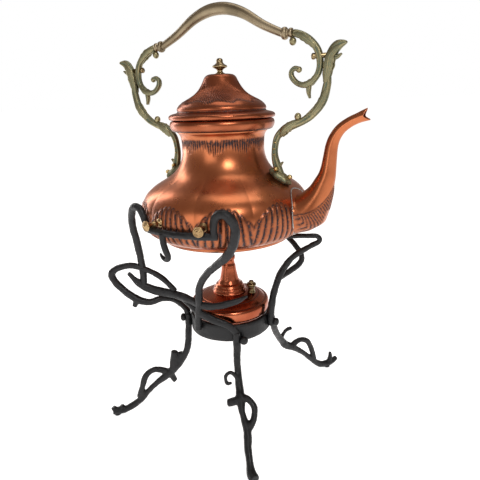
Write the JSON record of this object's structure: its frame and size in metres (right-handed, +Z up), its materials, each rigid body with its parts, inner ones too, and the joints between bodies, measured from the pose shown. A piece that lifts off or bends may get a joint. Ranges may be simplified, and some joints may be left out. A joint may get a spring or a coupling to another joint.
{
  "type": "spirit kettle on stand",
  "caption": "Lidded copper spirit kettle with a swinging brass bail handle, resting on a wrought-iron vine tripod that holds a small spirit burner under it.",
  "frame": {"origin": "on the table, straight under the axis of the kettle, the ring and the burner", "axes": "+Z up, +X towards the spout and along the bail handle, -Y the side with the two brass studs"},
  "size_m": [0.3037, 0.2712, 0.4897],
  "materials": {
    "copper": "polished copper with dark patina in the chasing",
    "brass": "polished brass",
    "satin_brass": "satin brass worn by the hand",
    "aged_brass": "cast brass with a green-brown patina",
    "wrought_iron": "hammered, blackened",
    "cotton": "woven cotton wick"
  },
  "bodies": {
    "stand": {"ring_band": "wrought_iron", "leg_front": "wrought_iron", "leg_left": "wrought_iron", "leg_right": "wrought_iron", "rivet_front": "wrought_iron", "rivet_left": "wrought_iron", "rivet_right": "wrought_iron", "crook_left": "wrought_iron", "loop_left": "wrought_iron", "leaf_left": "wrought_iron", "brace_front": "wrought_iron", "crook_front": "wrought_iron", "branch_right": "wrought_iron", "branch_rear": "wrought_iron", "cradle_bar": "wrought_iron", "cradle_tail": "wrought_iron", "sole_front": "wrought_iron", "sole_left": "wrought_iron", "sole_right": "wrought_iron"},
    "kettle": {"kettle_body": "copper", "kettle_base": "copper", "neck_collar": "copper", "spout": "copper", "bracket_front": "aged_brass", "bracket_rear": "aged_brass", "bracket_rivets_front": "aged_brass", "bracket_rivets_rear": "aged_brass", "pivot_pin_front": "aged_brass", "pivot_pin_rear": "aged_brass", "stud_left": "aged_brass", "stud_right": "aged_brass", "stud_boss_left": "aged_brass", "stud_boss_right": "aged_brass"},
    "lid": {"lid": "copper", "lid_bezel": "copper", "finial_stem": "brass", "finial_knob": "brass"},
    "bail": {"grip": "satin_brass", "scroll_front": "satin_brass", "scroll_rear": "satin_brass", "grip_collars_front": "satin_brass", "grip_collars_rear": "satin_brass"},
    "burner": {"fount_lower": "copper", "fount_upper": "copper", "burner_stem": "copper", "stem_moulding": "copper", "burner_head": "copper", "wick": "cotton", "filler_neck": "brass"},
    "cap": {"filler_cap": "brass"}
  },
  "joints": [
    {"name": "kettle_lift", "type": "slide", "parent": "stand", "child": "kettle", "axis": [0, 0, 1], "range_m": [0, 0.12]},
    {"name": "lid_lift", "type": "slide", "parent": "kettle", "child": "lid", "axis": [0, 0, 1], "range_m": [0, 0.032]},
    {"name": "bail_swing", "type": "hinge", "parent": "kettle", "child": "bail", "pos_m": [0, 0, 0.429], "axis": [1, 0, 0], "range_deg": [-90, 90]},
    {"name": "burner_lift", "type": "slide", "parent": "stand", "child": "burner", "axis": [0, 0, 1], "range_m": [0, 0.022]},
    {"name": "cap_turn", "type": "hinge", "parent": "burner", "child": "cap", "pos_m": [0.027, 0.007, 0.17], "axis": [0, 0, 1], "continuous": true}
  ]
}
